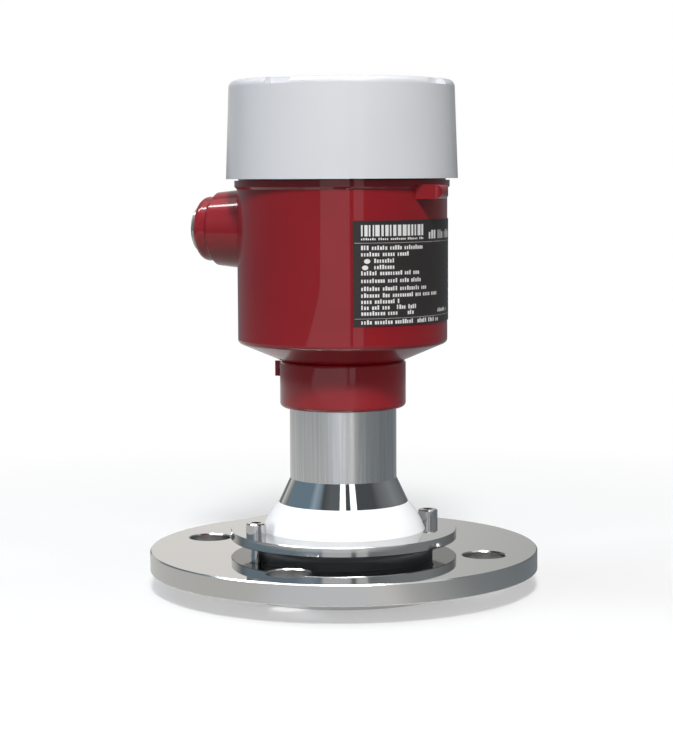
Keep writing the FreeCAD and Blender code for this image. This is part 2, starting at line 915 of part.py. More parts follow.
def terminal_block():
    """Terminal block with a well for each screw and a mouth for each wire."""
    near_x = terminal_x - terminal_w / 2
    half_l = terminal_pitch * terminal_count / 2
    body = block(near_x, near_x + terminal_w, -half_l, half_l, deck_z, terminal_top)
    upper = [edge for edge in body.Edges if edge.BoundBox.ZMin > terminal_top - 0.01]
    body = body.makeFillet(terminal_edge, upper)
    cuts = []
    for y in terminal_places():
        cuts.append(moved(rod(terminal_well_d, terminal_well_low, terminal_top), x=terminal_x, y=y))
        start = Vector(near_x, y, deck_z + terminal_wire_up)
        cuts.append(Part.makeCylinder(terminal_wire_d / 2, terminal_wire_l, start, Vector(1, 0, 0)))
    return body.cut(cuts)


def terminal_screws():
    """Clamping screws in the wells of the terminal block."""
    half = terminal_slot_w / 2
    reach = terminal_screw_d
    slot = block(-half, half, -reach, reach, terminal_screw_top - terminal_slot_depth, terminal_screw_top)
    screw = rod(terminal_screw_d, terminal_well_low, terminal_screw_top).cut(slot)
    return [moved(screw, x=terminal_x, y=y) for y in terminal_places()]


def dial_places():
    """Positions of the address dials across the deck."""
    first = -dial_pitch * (dial_count - 1) / 2
    return [first + dial_pitch * step for step in range(dial_count)]


def dial_cases():
    """Square cases that the address dials turn in."""
    half = dial_case_w / 2
    case = block(-half, half, -half, half, deck_z, deck_z + dial_case_h)
    case = case.cut(rod(dial_d + 2 * dial_fit, dial_z, deck_z + dial_case_h))
    return [moved(case, x=dial_x, y=y) for y in dial_places()]


def address_dial(y):
    """Small dial with a screwdriver slot that ends short of its rim on one side."""
    top = deck_z + dial_case_h + dial_proud
    half = dial_slot_w / 2
    start = dial_slot_l - dial_d / 2
    slot = block(-start, dial_d, -half, half, top - dial_slot_depth, top)
    return moved(rod(dial_d, dial_z, top).cut(slot), x=dial_x, y=y)


def inner_earth_clamp():
    """Small cage on the deck that takes the cable's earth wire."""
    half = inner_earth_w / 2
    middle_z = deck_z + inner_earth_h / 2
    cage = block(-half, half, -half, half, deck_z, inner_earth_top)
    start = Vector(-inner_earth_w, 0, middle_z)
    wire = Part.makeCylinder(inner_earth_wire_d / 2, 2 * inner_earth_w, start, Vector(1, 0, 0))
    cage = cage.cut([wire, rod(inner_earth_screw_d, middle_z, inner_earth_top)])
    return moved(cage, x=inner_earth_x, y=inner_earth_y)


def inner_earth_screw():
    """Screw that clamps the earth wire."""
    head_top = inner_earth_top + inner_earth_head_h
    shank_low = inner_earth_top - (inner_earth_h - inner_earth_wire_d) / 2
    shank = rod(inner_earth_screw_d, shank_low, inner_earth_top)
    screw = shank.fuse(rod(inner_earth_head_d, inner_earth_top, head_top)).removeSplitter()
    half = inner_earth_slot_w / 2
    reach = inner_earth_head_d
    slot = block(-half, half, -reach, reach, head_top - inner_earth_slot_depth, head_top)
    return moved(screw.cut(slot), x=inner_earth_x, y=inner_earth_y)


def cover_ring():
    """Sealing ring inside the cover's skirt, round the housing's mouth."""
    inner_d = mouth_d + 2 * cover_ring_fit
    outer_d = cover_seal_bore_d - 2 * cover_ring_fit
    section = (outer_d - inner_d) / 2
    return torus((outer_d + inner_d) / 2, section, cover_z + cover_seal_room / 2)


def cover():
    """Cover with a drafted skirt, a thread bore, a seat for its ring and four grip notches."""
    low_r = cover_d / 2
    top_r = low_r - cover_h * math.tan(math.radians(cover_draft_deg))
    seal_r = cover_seal_bore_d / 2
    thread_r = mouth_d / 2 + cover_bore_gap
    inside_r = cover_inside_d / 2
    thread_top = cover_ring_top + cover_thread_l
    ceiling = cover_top - cover_top_t
    body = turned(
        (seal_r, cover_z),
        (low_r, cover_z),
        (top_r, cover_top),
        (0, cover_top),
        (0, ceiling),
        (inside_r, ceiling),
        (inside_r, thread_top),
        (thread_r, thread_top),
        (thread_r, cover_ring_top),
        (seal_r, cover_ring_top),
    )
    body = softened(body, cover_top_edge, cover_top, 2 * top_r)
    body = softened(body, cover_top_edge, ceiling, cover_inside_d)
    notch = block(-notch_in, notch_in, -notch_w / 2, notch_w / 2, cover_top - notch_depth, cover_top)
    return body.cut(around(notch, notch_count, 2 * top_r, notch_angle))


def write(node, solids):
    """Write one piece, or a group of like pieces, to its own file."""
    group = solids if isinstance(solids, list) else [solids]
    for solid in group:
        if not solid.isValid():
            raise ValueError(node + " is not a valid solid")
    shape = Part.Compound(group) if len(group) > 1 else group[0]
    shape.exportStep("parts/" + node + ".step")


os.makedirs("parts", exist_ok=True)

write("process_flange", process_flange())
write("clamp_ring", clamp_ring())
write("clamp_screws", clamp_screws())
write("ball_seal", ball_seal())

write("swivel_ball", swivel_ball())
write("antenna_lens", antenna_lens())
write("lens_ring", lens_ring())
write("antenna_horn", antenna_horn())
write("horn_nut", horn_nut())
write("neck_cone", neck_cone())
write("neck_tube", neck_tube())
write("neck_rings", neck_rings())
write("snap_ring", snap_ring())
write("stop_pin", stop_pin())
write("waveguide", waveguide())

write("housing", housing())
write("housing_lock_screw", housing_lock_screw())
write("earth_screw", earth_screw())
write("earth_washer", earth_washer())
write("blanking_plug", blanking_plug())
write("plug_seal", plug_seal())
write("type_label", type_label())
write("cover_lock_screw", cover_lock_screw())

write("electronics_insert", electronics_insert())
write("insert_screws", insert_screws())
write("radar_module", radar_module())
write("terminal_block", terminal_block())
write("terminal_screws", terminal_screws())
write("dial_cases", dial_cases())
for number, place in enumerate(dial_places(), start=1):
    write("address_dial_" + str(number), address_dial(place))
write("inner_earth_clamp", inner_earth_clamp())
write("inner_earth_screw", inner_earth_screw())

write("cover_ring", cover_ring())
write("cover", cover())
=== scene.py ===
import math

import bpy
import numpy as np
from mathutils import Matrix, Vector


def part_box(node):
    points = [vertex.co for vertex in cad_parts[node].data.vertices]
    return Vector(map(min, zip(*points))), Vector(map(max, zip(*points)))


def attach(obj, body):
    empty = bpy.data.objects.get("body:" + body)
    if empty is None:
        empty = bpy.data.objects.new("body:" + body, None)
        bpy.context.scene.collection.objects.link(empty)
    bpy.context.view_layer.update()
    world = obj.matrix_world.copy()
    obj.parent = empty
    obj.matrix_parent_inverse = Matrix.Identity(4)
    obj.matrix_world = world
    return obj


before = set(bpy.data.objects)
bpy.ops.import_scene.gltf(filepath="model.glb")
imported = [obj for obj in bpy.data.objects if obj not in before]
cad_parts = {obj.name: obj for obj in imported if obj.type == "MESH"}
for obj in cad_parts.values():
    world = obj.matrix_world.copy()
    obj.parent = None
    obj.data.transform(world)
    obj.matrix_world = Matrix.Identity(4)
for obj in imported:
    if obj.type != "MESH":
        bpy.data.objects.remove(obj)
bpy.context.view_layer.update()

# Radar level transmitter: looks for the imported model. Metres and degrees, +Z up
MM = 0.001

# The camera, fitted to the photograph: the lens is the fitted focal length in pixels on a 36 mm sensor
IMAGE_LONG_PX = 733
FOCAL_PX = 1994.8
SENSOR_MM = 36.0
CAMERA_PLACE = Vector((0.2960, -0.7889, 0.1744))
CAMERA_TURN = 20.75
CAMERA_DOWN = 5.447
CAMERA_ROLL = 0.295


def look_direction(turn, down):
    """Unit vector of a view turned from +Y towards -X and tipped down."""
    turn = math.radians(turn)
    down = math.radians(down)
    return Vector((-math.sin(turn) * math.cos(down), math.cos(turn) * math.cos(down), -math.sin(down)))


def photo_camera():
    """Camera at the photograph's place, turned and rolled as fitted."""
    data = bpy.data.cameras.new("photo_camera")
    data.sensor_fit = "AUTO"
    data.sensor_width = SENSOR_MM
    data.lens = FOCAL_PX / IMAGE_LONG_PX * SENSOR_MM
    data.clip_start = 0.01
    data.clip_end = 50.0
    camera = bpy.data.objects.new("photo_camera", data)
    bpy.context.scene.collection.objects.link(camera)
    forward = look_direction(CAMERA_TURN, CAMERA_DOWN)
    right = forward.cross(Vector((0, 0, 1))).normalized()
    above = right.cross(forward)
    roll = math.radians(CAMERA_ROLL)
    rolled_right = right * math.cos(roll) - above * math.sin(roll)
    rolled_above = above * math.cos(roll) + right * math.sin(roll)
    axes = Matrix((rolled_right, rolled_above, -forward)).transposed().to_4x4()
    camera.matrix_world = Matrix.Translation(CAMERA_PLACE) @ axes
    bpy.context.scene.camera = camera


# Colours and nodes


def linear(code):
    """Linear colour, with alpha 1, of an sRGB hex value."""
    out = []
    for start in (1, 3, 5):
        part = int(code[start:start + 2], 16) / 255
        out.append(part / 12.92 if part <= 0.04045 else ((part + 0.055) / 1.055) ** 2.4)
    return (*out, 1.0)


def per_metre(size_mm):
    """Scale of a noise whose grains are so many millimetres wide."""
    return 1 / (size_mm * MM)


def add(tree, kind, inputs=None, **settings):
    """Add a node with its settings and its inputs. An input gets a value, or a link from a socket or from
    the first output of a node."""
    node = tree.nodes.new(kind)
    for name, setting in settings.items():
        setattr(node, name, setting)
    for name, given in (inputs or {}).items():
        if isinstance(given, bpy.types.Node):
            given = given.outputs[0]
        if isinstance(given, bpy.types.NodeSocket):
            tree.links.new(given, node.inputs[name])
        else:
            node.inputs[name].default_value = given
    return node


def blank_material(name):
    """New material with an empty node tree."""
    made = bpy.data.materials.new(name)
    made.use_nodes = True
    made.node_tree.nodes.clear()
    return made, made.node_tree


def round_place(tree):
    """Radius from the Z axis and height, as two sockets."""
    place = add(tree, "ShaderNodeTexCoord").outputs["Object"]
    flat = add(tree, "ShaderNodeVectorMath", {0: place, 1: (1, 1, 0)}, operation="MULTIPLY")
    radius = add(tree, "ShaderNodeVectorMath", {0: flat}, operation="LENGTH").outputs["Value"]
    height = add(tree, "ShaderNodeSeparateXYZ", {0: place}).outputs["Z"]
    return radius, height


# Studio

# The surroundings and the paper as lights, against 1 for white
AMBIENT = 0.35
FLOOR_BOUNCE = 0.14
# The paper as it is seen: its own white, the share of plain white beside the object, and the radius from
# which that share grows, up to all of it at three times the radius
PAPER_WHITE = 0.95
FLOOR_GLOW = 0.36
POOL_R = 0.15
FLOOR_W = 12.0
FLOOR_DROP = 0.05 * MM


def seen_ray(tree):
    """1 for what the camera, a reflection or a clear piece sees, and 0 for what lights a surface."""
    path = add(tree, "ShaderNodeLightPath").outputs
    direct = {0: path["Is Camera Ray"], 1: path["Is Glossy Ray"]}
    seen = add(tree, "ShaderNodeMath", direct, operation="MAXIMUM")
    return add(tree, "ShaderNodeMath", {0: seen, 1: path["Is Transmission Ray"]}, operation="MAXIMUM")


def floor_paper():
    """Matte white studio paper. A share of it shows as plain white, all of it further out, so that its
    shadow stays light. It throws less light back up than it shows, as paper does outside the lamps'
    pool of light."""
    made, tree = blank_material("white_studio_paper")
    seen = seen_ray(tree)
    shade = add(tree, "ShaderNodeMapRange", {"Value": seen, "To Min": FLOOR_BOUNCE, "To Max": PAPER_WHITE})
    paper = add(tree, "ShaderNodeBsdfDiffuse", {"Color": shade})
    glow = add(tree, "ShaderNodeEmission", {"Color": linear("#ffffff"), "Strength": 1.0})
    radius = round_place(tree)[0]
    pool = {"Value": radius, "From Min": POOL_R, "From Max": 3 * POOL_R, "To Min": FLOOR_GLOW}
    glow_here = add(tree, "ShaderNodeMapRange", pool)
    share = add(tree, "ShaderNodeMath", {0: seen, 1: glow_here}, operation="MULTIPLY")
    shader = add(tree, "ShaderNodeMixShader", {0: share, 1: paper, 2: glow})
    add(tree, "ShaderNodeOutputMaterial", {"Surface": shader})
    return made


def studio_floor():
    """Flat square of paper on which the object stands, a hair under its lowest face."""
    half = FLOOR_W / 2
    corners = [(-half, -half, 0), (half, -half, 0), (half, half, 0), (-half, half, 0)]
    mesh = bpy.data.meshes.new("studio_floor")
    mesh.from_pydata(corners, [], [(0, 1, 2, 3)])
    mesh.materials.append(floor_paper())
    plane = bpy.data.objects.new("studio_floor", mesh)
    plane.location = (0, 0, -FLOOR_DROP)
    bpy.context.scene.collection.objects.link(plane)


def studio_world():
    """White surroundings, softer as a light than as a background."""
    world = bpy.data.worlds.new("white_studio")
    world.use_nodes = True
    tree = world.node_tree
    tree.nodes.clear()
    strength = add(tree, "ShaderNodeMapRange", {"Value": seen_ray(tree), "To Min": AMBIENT})
    sky = add(tree, "ShaderNodeBackground", {"Color": linear("#ffffff"), "Strength": strength})
    add(tree, "ShaderNodeOutputWorld", {"Surface": sky})
    bpy.context.scene.world = world


def turned_light(data, beam):
    """Light with the given settings, turned to shine along a beam."""
    light = bpy.data.objects.new(data.name, data)
    light.rotation_mode = "QUATERNION"
    light.rotation_quaternion = beam.to_track_quat("-Z", "Y")
    bpy.context.scene.collection.objects.link(light)
    return light


def lamp(name, level, size, place, aim, tint=(1.0, 1.0, 1.0)):
    """Soft round lamp that lights a surface facing it to the given level at its aim."""
    beam = Vector(aim) - Vector(place)
    data = bpy.data.lights.new(name, "AREA")
    data.shape = "DISK"
    data.size = size
    data.color = tint
    data.energy = level * math.pi ** 2 * beam.length ** 2
    light = turned_light(data, beam)
    light.location = place
    light.visible_glossy = False


def snoot(name, level, size, place, aim, radius):
    """Lamp narrowed to a round pool of light of the given radius at its aim."""
    beam = Vector(aim) - Vector(place)
    data = bpy.data.lights.new(name, "SPOT")
    data.spot_size = 2 * math.atan(radius / beam.length)
    data.spot_blend = 0.5
    data.shadow_soft_size = size / 2
    data.energy = level * 4 * math.pi ** 2 * beam.length ** 2
    light = turned_light(data, beam)
    light.location = place
    light.visible_glossy = False


def overhead_light(level, spread, beam):
    """Far round light overhead that lights level ground to the given level. The spread is its width in
    degrees, which softens the shadow and keeps glossy tops from clipping."""
    data = bpy.data.lights.new("overhead_light", "SUN")
    data.energy = level * math.pi
    data.angle = math.radians(spread)
    turned_light(data, Vector(beam))


# The cloths' greys
WARM_WHITE = "#f2efeb"
COOL_WHITE = "#e9ebef"
OFF_WHITE = "#dad9d6"
PALE_GREY = "#cccccb"
LIGHT_GREY = "#a8abac"
SILVER_GREY = "#969a9c"
SLATE_GREY = "#82898e"
MID_GREY = "#78797a"
IRON_GREY = "#6e7377"
DARK_GREY = "#595c5f"
BLUE_GREY = "#8fa2ad"
STEEL_BLUE = "#7b92a1"
PALE_BLUE = "#adbfcd"
CLOTH_INNER_R = 0.088
CLOTH_UP = 0.001
CLOTH_STEPS = 96
WALL_R = 2.4
WALL_H = 3.4
# What the studio's floor and walls show in polished metal: the angle from the camera, to the right, and
# the grey there
NEAR_CLOTH = (
    (-180, PALE_GREY), (-120, OFF_WHITE), (-80, OFF_WHITE), (-50, OFF_WHITE), (-38, OFF_WHITE),
    (-24, COOL_WHITE), (-4, COOL_WHITE), (4, COOL_WHITE), (18, WARM_WHITE), (27, PALE_GREY),
    (55, SILVER_GREY), (88, SLATE_GREY), (134, SLATE_GREY), (180, LIGHT_GREY),
)
FAR_CLOTH = (
    (-180, IRON_GREY), (-130, SLATE_GREY), (-60, SLATE_GREY), (-35, SLATE_GREY), (0, DARK_GREY),
    (30, IRON_GREY), (90, MID_GREY), (150, IRON_GREY), (180, IRON_GREY),
)
LOW_WALL = (
    (-180, WARM_WHITE), (-172, WARM_WHITE), (-143, OFF_WHITE), (-126, SLATE_GREY), (-113, BLUE_GREY),
    (-50, BLUE_GREY), (-36, PALE_BLUE), (-23, BLUE_GREY), (0, DARK_GREY), (25, SILVER_GREY),
    (50, LIGHT_GREY), (95, LIGHT_GREY), (115, SILVER_GREY), (147, MID_GREY), (165, LIGHT_GREY),
    (180, OFF_WHITE),
)
HIGH_WALL = (
    (-180, PALE_GREY), (-140, SLATE_GREY), (-110, STEEL_BLUE), (-72, STEEL_BLUE), (-62, PALE_BLUE),
    (-52, BLUE_GREY), (-44, DARK_GREY), (-28, IRON_GREY), (-12, IRON_GREY), (6, DARK_GREY),
    (38, DARK_GREY), (66, DARK_GREY), (78, MID_GREY), (112, SILVER_GREY), (146, MID_GREY),
    (180, PALE_GREY),
)
# The distances at which each cloth begins and is full, out along the floor and then up the wall
CLOTHS = (
    (0.0, 0.1, NEAR_CLOTH), (0.82, 0.9, FAR_CLOTH), (2.6, 2.68, LOW_WALL), (3.05, 3.25, HIGH_WALL),
)


def seen_only_in_gloss(stage_object):
    """Hide a stage object from the camera and from all but shiny surfaces."""
    stage_object.rotation_euler = (0, 0, math.radians(CAMERA_TURN - 90))
    stage_object.visible_camera = False
    stage_object.visible_diffuse = False
    stage_object.visible_shadow = False
    bpy.context.scene.collection.objects.link(stage_object)


def cloth_greys():
    """Glowing cloths, one after the other by distance, each with its own greys by angle."""
    made, tree = blank_material("grey_and_white_cloths")
    place = add(tree, "ShaderNodeTexCoord").outputs["Object"]
    axes = add(tree, "ShaderNodeSeparateXYZ", {0: place}).outputs
    turn = add(tree, "ShaderNodeMath", {0: axes["Y"], 1: axes["X"]}, operation="ARCTAN2")
    share = add(tree, "ShaderNodeMapRange", {"Value": turn, "From Min": -math.pi, "From Max": math.pi})
    radius, height = round_place(tree)
    distance = add(tree, "ShaderNodeMath", {0: radius, 1: height}, operation="ADD")
    colour = None
    for near, full, stops in CLOTHS:
        ramp = add(tree, "ShaderNodeValToRGB", {0: share})
        elements = ramp.color_ramp.elements
        while len(elements) < len(stops):
            elements.new(0.5)
        for element, (angle, code) in zip(elements, stops):
            element.position = (angle + 180) / 360
            element.color = linear(code)
        greys = ramp.outputs["Color"]
        if colour is None:
            colour = greys
        else:
            begun = add(tree, "ShaderNodeMapRange", {"Value": distance, "From Min": near, "From Max": full})
            blend = add(tree, "ShaderNodeMix", {0: begun, 6: colour, 7: greys}, data_type="RGBA")
            colour = blend.outputs[2]
    glow = add(tree, "ShaderNodeEmission", {"Color": colour, "Strength": 1.0})
    add(tree, "ShaderNodeOutputMaterial", {"Surface": glow})
    return made


def studio_walls():
    """Cloths on the floor and the walls, seen only by what reflects them. The surface is a bent line,
    out along the floor and up the wall, turned about the Z axis."""
    line = np.array([(CLOTH_INNER_R, CLOTH_UP), (WALL_R, CLOTH_UP), (WALL_R, WALL_H)])
    angle = np.linspace(0, 2 * np.pi, CLOTH_STEPS, endpoint=False)
    radius = line[:, :1]
    height = np.broadcast_to(line[:, 1:], (len(line), CLOTH_STEPS))
    points = np.stack([radius * np.cos(angle), radius * np.sin(angle), height], axis=2).reshape(-1, 3)
    here = np.arange(CLOTH_STEPS)
    after = (here + 1) % CLOTH_STEPS
    strip = np.stack([here, here + CLOTH_STEPS, after + CLOTH_STEPS, after], axis=1)
    faces = np.concatenate([strip, strip + CLOTH_STEPS])
    mesh = bpy.data.meshes.new("studio_walls")
    mesh.from_pydata(points.tolist(), [], faces.tolist())
    mesh.materials.append(cloth_greys())
    seen_only_in_gloss(bpy.data.objects.new("studio_walls", mesh))


BOARD_R = 2.3
BOARD_WHITE = "#f4f5f6"
# White boards that glossy surfaces show as light strips: corners as (angle to the right, distance out
# along the floor, height), in order round the board
FLOOR_BOARDS = (
    ((-60, 0.85, 0.004), (-24, 2.3, 0.004), (8, 2.3, 0.004), (8, 0.85, 0.004)),
    ((11, 0.85, 0.004), (11, 2.3, 0.004), (22, 2.3, 0.004), (22, 0.85, 0.004)),
)
WALL_BOARDS = (
    ((-24, BOARD_R, 0.0), (8, BOARD_R, 0.0), (6, BOARD_R, 1.1), (-18, BOARD_R, 1.1)),
    ((12, BOARD_R, 0.0), (22, BOARD_R, 0.0), (26, BOARD_R, 1.1), (12, BOARD_R, 1.1)),
)
BOARD_LEVEL = 1.0
# Strip lights over the boards
STRIP_LIGHTS = (
    ((-9, BOARD_R, 1.15), (4.5, BOARD_R, 1.15), (4.5, BOARD_R, 3.0), (-7, BOARD_R, 3.0)),
    ((14, BOARD_R, 1.15), (26, BOARD_R, 1.15), (29, BOARD_R, 3.0), (14.5, BOARD_R, 3.0)),
)
STRIP_LEVEL = 2.6
# A bright strip overhead, which rounded shiny edges show as a white line
CEILING_STRIPS = (((-96.9, 1.55, 1.6), (32.7, 0.62, 1.6), (48.4, 0.54, 1.6), (-103.5, 1.51, 1.6)),)
CEILING_LEVEL = 22.0


def glowing_boards(kind, boards, level):
    """Flat boards of one brightness in front of the object, each a flat face through its corners."""
    made, tree = blank_material(kind)
    glow = add(tree, "ShaderNodeEmission", {"Color": linear(BOARD_WHITE), "Strength": level})
    add(tree, "ShaderNodeOutputMaterial", {"Surface": glow})
    for number, corners in enumerate(boards):
        points = []
        for angle, far, height in corners:
            turn = math.radians(angle)
            points.append((far * math.cos(turn), far * math.sin(turn), height))
        name = f"{kind}_{number}"
        mesh = bpy.data.meshes.new(name)
        mesh.from_pydata(points, [], [tuple(range(len(points)))])
        mesh.materials.append(made)
        seen_only_in_gloss(bpy.data.objects.new(name, mesh))


# Metals

# Factors on the axes that draw a noise out into marks: along an axis with a small factor it is drawn out
ROUND_THE_PIECE = (0.02, 0.02, 1.0)
ROUND_THE_TUBE = (0.03, 0.03, 1.0)
ALONG_THE_TUBE = (1.0, 1.0, 0.02)
LATHE_RING_MM = 0.35
LATHE_DEPTH_MM = 0.012
TUBE_GROOVE_MM = 0.4
TUBE_DEPTH_MM = 0.004
TUBE_STREAK_MM = 1.1
# The part of a noise's range that is stretched to the full range
MOST = {"From Min": 0.3, "From Max": 0.7}


def steel(name, colour, rough, groove_mm, depth_mm):
    """Bare metal, polished or drawn, with shallow tool marks that run round the Z axis. Real ones lie a
    few hundredths of a millimetre apart: they are drawn coarser, at the groove's width, so that they
    show as a slight unevenness in the reflection."""
    made, tree = blank_material(name)
    place = add(tree, "ShaderNodeTexCoord").outputs["Object"]
    drawn_out = add(tree, "ShaderNodeVectorMath", {0: place, 1: ROUND_THE_PIECE}, operation="MULTIPLY")
    fine = {"Vector": drawn_out, "Scale": per_metre(groove_mm), "Detail": 3.0, "Roughness": 0.6}
    marks = add(tree, "ShaderNodeTexNoise", fine)
    normal = add(tree, "ShaderNodeBump", {"Height": marks, "Strength": 1.0, "Distance": depth_mm * MM})
    look = {"Base Color": linear(colour), "Metallic": 1.0, "Roughness": rough, "Normal": normal}
    shader = add(tree, "ShaderNodeBsdfPrincipled", look)
    add(tree, "ShaderNodeOutputMaterial", {"Surface": shader})
    return made


def turned_steel(name, colour, flat_rough, side_rough):
    """Stainless steel faced and turned on a lathe: rings on the flat faces, bands round the sides, and
    both so fine that the flat faces mirror what stands on them. A finishing cut feeds about 0.1 mm a
    turn: its rings are drawn 0.35 mm wide so that they show."""
    made, tree = blank_material(name)
    radius, height = round_place(tree)
    facing = add(tree, "ShaderNodeTexCoord").outputs["Normal"]
    upward = add(tree, "ShaderNodeSeparateXYZ", {0: facing}).outputs["Z"]
    level = add(tree, "ShaderNodeMath", {0: upward}, operation="ABSOLUTE")
    flat = add(tree, "ShaderNodeMapRange", {"Value": level, "From Min": 0.6, "From Max": 0.9})
    across = add(tree, "ShaderNodeCombineXYZ", {"X": radius, "Y": height})
    fine = {"Vector": across, "Scale": per_metre(LATHE_RING_MM), "Detail": 3.0, "Roughness": 0.7}
    marks = add(tree, "ShaderNodeTexNoise", fine)
    depth = add(tree, "ShaderNodeMapRange", {"Value": flat, "To Min": 0.5, "To Max": 0.02})
    rings = add(tree, "ShaderNodeMath", {0: marks, 1: depth}, operation="MULTIPLY")
    rough = add(tree, "ShaderNodeMapRange", {"Value": flat, "To Min": side_rough, "To Max": flat_rough})
    cut = {"Height": rings, "Strength": 1.0, "Distance": LATHE_DEPTH_MM * MM}
    normal = add(tree, "ShaderNodeBump", cut)
    look = {"Base Color": linear(colour), "Metallic": 1.0, "Roughness": rough, "Normal": normal}
    shader = add(tree, "ShaderNodeBsdfPrincipled", look)
    add(tree, "ShaderNodeOutputMaterial", {"Surface": shader})
    return made


def brushed_tube_steel():
    """Stainless tube, belt-ground round its axis: the grooves blur a reflection up and down, so it stands
    as soft upright bands with faint streaks of lighter and darker steel. A belt's grooves are about
    0.05 mm wide: they are drawn 0.4 mm wide, and the streaks 1.1 mm, so that they show."""
    made, tree = blank_material("belt_ground_stainless_tube")
    place = add(tree, "ShaderNodeTexCoord").outputs["Object"]
    round_it = add(tree, "ShaderNodeVectorMath", {0: place, 1: ROUND_THE_TUBE}, operation="MULTIPLY")
    groove = {"Vector": round_it, "Scale": per_metre(TUBE_GROOVE_MM), "Detail": 3.0, "Roughness": 0.7}
    marks = add(tree, "ShaderNodeTexNoise", groove)
    along_it = add(tree, "ShaderNodeVectorMath", {0: place, 1: ALONG_THE_TUBE}, operation="MULTIPLY")
    streak = {"Vector": along_it, "Scale": per_metre(TUBE_STREAK_MM), "Detail": 2.0, "Roughness": 0.6}
    streaks = add(tree, "ShaderNodeTexNoise", streak)
    share = add(tree, "ShaderNodeMapRange", {"Value": streaks, **MOST})
    tones = {0: share, 6: linear("#c2c4c5"), 7: linear("#d3d4d5")}
    ground = {"Height": marks, "Strength": 1.0, "Distance": TUBE_DEPTH_MM * MM}
    look = {
        "Base Color": add(tree, "ShaderNodeMix", tones, data_type="RGBA").outputs[2],
        "Metallic": 1.0, "Roughness": 0.22, "Anisotropic": 0.85, "Anisotropic Rotation": 0.25,
        "Tangent": add(tree, "ShaderNodeTangent", direction_type="RADIAL", axis="Z"),
        "Normal": add(tree, "ShaderNodeBump", ground),
    }
    shader = add(tree, "ShaderNodeBsdfPrincipled", look)
    add(tree, "ShaderNodeOutputMaterial", {"Surface": shader})
    return made


# Paints, plastics and ink

COAT_DRIFT_MM = 30
INK_GRAIN_MM = 0.25
INK_DEPTH_MM = 0.003


def powder_coat(name, colour, thin, rough, gloss, peel_mm, depth_mm, coat, coat_rough):
    """Powder coat on cast aluminium: a closed, glossy skin with a faint orange peel at its real size and
    a slight drift in depth of colour, down to the thin share, where it lies thinner."""
    made, tree = blank_material(name)
    place = add(tree, "ShaderNodeTexCoord").outputs["Object"]
    peel = add(tree, "ShaderNodeTexNoise", {"Vector": place, "Scale": per_metre(peel_mm), "Detail": 1.0})
    thickness = {"Vector": place, "Scale": per_metre(COAT_DRIFT_MM), "Detail": 1.0}
    drift = add(tree, "ShaderNodeTexNoise", thickness)
    share = add(tree, "ShaderNodeMapRange", {"Value": drift, "From Min": 0.35, "From Max": 0.65})
    base = linear(colour)
    darker = (*(thin * part for part in base[:3]), 1.0)
    look = {
        "Base Color": add(tree, "ShaderNodeMix", {0: share, 6: darker, 7: base}, data_type="RGBA").outputs[2],
        "Roughness": rough, "IOR": 1.5, "Specular IOR Level": gloss,
        "Coat Weight": coat, "Coat Roughness": coat_rough,
        "Normal": add(tree, "ShaderNodeBump", {"Height": peel, "Strength": 1.0, "Distance": depth_mm * MM}),
    }
    shader = add(tree, "ShaderNodeBsdfPrincipled", look)
    add(tree, "ShaderNodeOutputMaterial", {"Surface": shader})
    return made


def moulded_plastic(name, colour, rough, grain_mm=0.5, depth_mm=0.004, milky=0.0):
    """Moulded plastic or rubber with the grain of its tool, which breaks up its gloss. A real grain is
    about 0.1 mm wide: it is drawn coarser so that it shows. A milky plastic lets light in a little way."""
    made, tree = blank_material(name)
    place = add(tree, "ShaderNodeTexCoord").outputs["Object"]
    grain = add(tree, "ShaderNodeTexNoise", {"Vector": place, "Scale": per_metre(grain_mm), "Detail": 2.0})
    shine = {"Value": grain, **MOST, "To Min": rough * 0.9, "To Max": rough * 1.1}
    look = {
        "Base Color": linear(colour), "IOR": 1.46,
        "Roughness": add(tree, "ShaderNodeMapRange", shine),
        "Normal": add(tree, "ShaderNodeBump", {"Height": grain, "Strength": 1.0, "Distance": depth_mm * MM}),
    }
    if milky:
        look["Subsurface Weight"] = milky
        look["Subsurface Scale"] = 2 * MM
        look["Subsurface Radius"] = (1.0, 1.0, 1.0)
    shader = add(tree, "ShaderNodeBsdfPrincipled", look)
    add(tree, "ShaderNodeOutputMaterial", {"Surface": shader})
    return made


def screen_ink():
    """Ink screened on foil: a thin, even, slightly shiny layer with a little grain at its face. The
    screen's mesh is about 0.1 mm wide: its grain is drawn 0.25 mm wide so that it shows."""
    made, tree = blank_material("white_screen_ink")
    place = add(tree, "ShaderNodeTexCoord").outputs["Object"]
    mesh_marks = {"Vector": place, "Scale": per_metre(INK_GRAIN_MM), "Detail": 2.0}
    grain = add(tree, "ShaderNodeTexNoise", mesh_marks)
    whites = {0: grain, 6: linear("#f0f0ee"), 7: linear("#fbfbfa")}
    face = {"Height": grain, "Strength": 1.0, "Distance": INK_DEPTH_MM * MM}
    look = {
        "Base Color": add(tree, "ShaderNodeMix", whites, data_type="RGBA").outputs[2],
        "Roughness": 0.45, "IOR": 1.48,
        "Normal": add(tree, "ShaderNodeBump", face),
    }
    shader = add(tree, "ShaderNodeBsdfPrincipled", look)
    add(tree, "ShaderNodeOutputMaterial", {"Surface": shader})
    return made


# New pieces

SHARP_EDGE = 35.0


